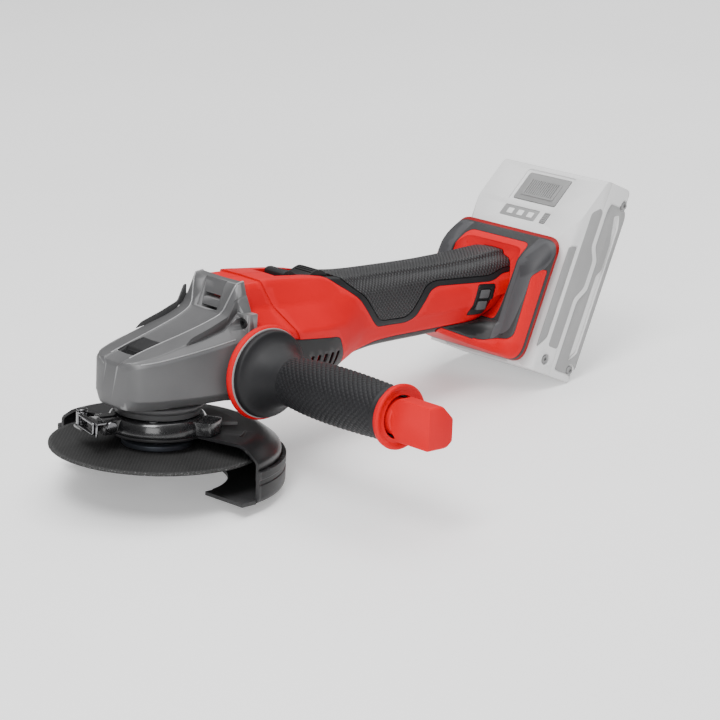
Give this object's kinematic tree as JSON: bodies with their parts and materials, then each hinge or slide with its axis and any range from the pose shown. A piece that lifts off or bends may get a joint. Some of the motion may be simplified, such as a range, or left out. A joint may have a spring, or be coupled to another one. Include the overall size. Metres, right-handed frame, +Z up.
{
  "type": "cordless angle grinder",
  "caption": "Cordless angle grinder with grey gear head, swivelling guard with clip-on cutting cover, red side handle collar, rubber grip and leaning slide-on battery pack.",
  "frame": {"origin": "on the spindle axis in the middle plane of the cutting disc", "axes": "+X back along the body to the battery, +Y away from the side handle, +Z up the spindle axis"},
  "size_m": [0.3752, 0.2364, 0.1384],
  "materials": {
    "metal_paint": "fine-grained satin grey paint",
    "guard_paint": "semi-gloss black paint",
    "red_plastic": "fine-textured red nylon",
    "dark_red_plastic": "dark red nylon",
    "black_plastic": "fine-textured black nylon",
    "rubber": "soft-touch moulded rubber",
    "steel": "machined",
    "bright_steel": "zinc plated",
    "flange_steel": "blued",
    "black_steel": "black oxide",
    "zinc": "matt grey coat",
    "abrasive": "resin bonded, woven mesh",
    "lamination": "stacked sheets",
    "copper": "enamelled copper wire",
    "board": "green circuit board",
    "contact": "plated",
    "pack_light": "pale grey nylon",
    "pack_mid": "mid grey nylon",
    "pack_window": "gauge window",
    "cell_wrap": "shrink sleeve"
  },
  "bodies": {
    "tool": {"gear_head": "metal_paint", "head_screws": "black_steel", "bearing_cover": "metal_paint", "lower_bearing": "steel", "upper_bearing": "steel", "dust_seal": "rubber", "bearing_carrier": "metal_paint", "front_motor_bearing": "steel", "housing_left": "red_plastic", "housing_right": "red_plastic", "housing_screws": "black_steel", "vent_panels": "black_plastic", "grip_overmould": "rubber", "grip_strip": "rubber", "foot_frame": "black_plastic", "foot_panels": "red_plastic", "foot_rim": "dark_red_plastic", "pack_receiver": "black_plastic", "terminal_block": "contact", "stator_core": "lamination", "stator_windings": "copper", "sensor_board": "board", "rear_motor_bearing": "steel", "motor_end_bracket": "black_plastic", "control_board": "board", "switch_module": "black_plastic", "button_bezel": "black_plastic"},
    "spindle_set": {"spindle": "steel", "crown_gear": "steel", "inner_flange": "flange_steel", "cutting_disc": "abrasive", "flange_nut": "flange_steel"},
    "rotor_set": {"motor_shaft": "steel", "rotor_core": "lamination", "pinion": "steel", "cooling_fan": "black_plastic"},
    "guard": {"guard_shell": "guard_paint", "guard_band": "guard_paint", "guard_tab": "zinc", "clamp_bolt": "bright_steel"},
    "clamp": {"clamp_lever": "bright_steel"},
    "cover": {"cutting_cover": "black_plastic"},
    "lock": {"lock_button": "black_plastic", "lock_pin": "steel", "lock_spring": "steel"},
    "slider": {"slide_switch": "black_plastic"},
    "button_a": {"upper_button": "rubber"},
    "button_b": {"lower_button": "rubber"},
    "pack": {"pack_front_case": "pack_light", "pack_rear_case": "pack_mid", "pack_cells": "cell_wrap", "pack_screws": "steel", "pack_gauge": "pack_window"},
    "gauge": {"gauge_button": "pack_mid"},
    "latch": {"pack_latch": "pack_mid"},
    "handle": {"handle_core": "black_plastic", "handle_collar": "red_plastic", "handle_grip": "rubber", "handle_end_ring": "red_plastic"},
    "wrench": {"pin_wrench": "red_plastic"}
  },
  "joints": [
    {"name": "spindle_turn", "type": "hinge", "parent": "tool", "child": "spindle_set", "pos_m": [0, 0, 0], "axis": [0, 0, 1], "continuous": true},
    {"name": "rotor_turn", "type": "hinge", "parent": "tool", "child": "rotor_set", "pos_m": [0, 0, 0.047], "axis": [1, 0, 0], "continuous": true},
    {"name": "guard_swivel", "type": "hinge", "parent": "tool", "child": "guard", "pos_m": [0, 0, 0], "axis": [0, 0, 1], "range_deg": [-90, 90]},
    {"name": "clamp_lever", "type": "hinge", "parent": "guard", "child": "clamp", "pos_m": [-0.03416, 0.02089, 0.0142], "axis": [0, 0, 1], "range_deg": [-75, 0]},
    {"name": "cover_pull", "type": "slide", "parent": "guard", "child": "cover", "axis": [0, 0, -1], "range_m": [0, 0.025]},
    {"name": "lock_press", "type": "slide", "parent": "tool", "child": "lock", "axis": [0, 0, -1], "range_m": [0, 0.0028], "stiffness_N_per_m": 600, "deforming": ["lock_spring"]},
    {"name": "switch_slide", "type": "slide", "parent": "tool", "child": "slider", "axis": [-1, 0, 0], "range_m": [0, 0.007]},
    {"name": "upper_button_press", "type": "slide", "parent": "tool", "child": "button_a", "axis": [0, 1, 0], "range_m": [0, 0.0012], "stiffness_N_per_m": 500},
    {"name": "lower_button_press", "type": "slide", "parent": "tool", "child": "button_b", "axis": [0, 1, 0], "range_m": [0, 0.0012], "stiffness_N_per_m": 500},
    {"name": "pack_slide", "type": "slide", "parent": "tool", "child": "pack", "axis": [0.3746, 0, 0.9272], "range_m": [0, 0.075]},
    {"name": "latch_press", "type": "slide", "parent": "pack", "child": "latch", "axis": [0.6929, 0, -0.7211], "range_m": [0, 0.0028], "stiffness_N_per_m": 700},
    {"name": "gauge_button_press", "type": "slide", "parent": "pack", "child": "gauge", "axis": [0.6929, 0, -0.7211], "range_m": [0, 0.0012], "stiffness_N_per_m": 500},
    {"name": "handle_unscrew", "type": "slide", "parent": "tool", "child": "handle", "axis": [0, -1, 0], "range_m": [0, 0.012]},
    {"name": "wrench_pull", "type": "slide", "parent": "handle", "child": "wrench", "axis": [0, -1, 0], "range_m": [0, 0.03]}
  ],
  "couplings": [
    {"joint": "rotor_turn", "follows": "spindle_turn", "ratio": 3.4}
  ]
}
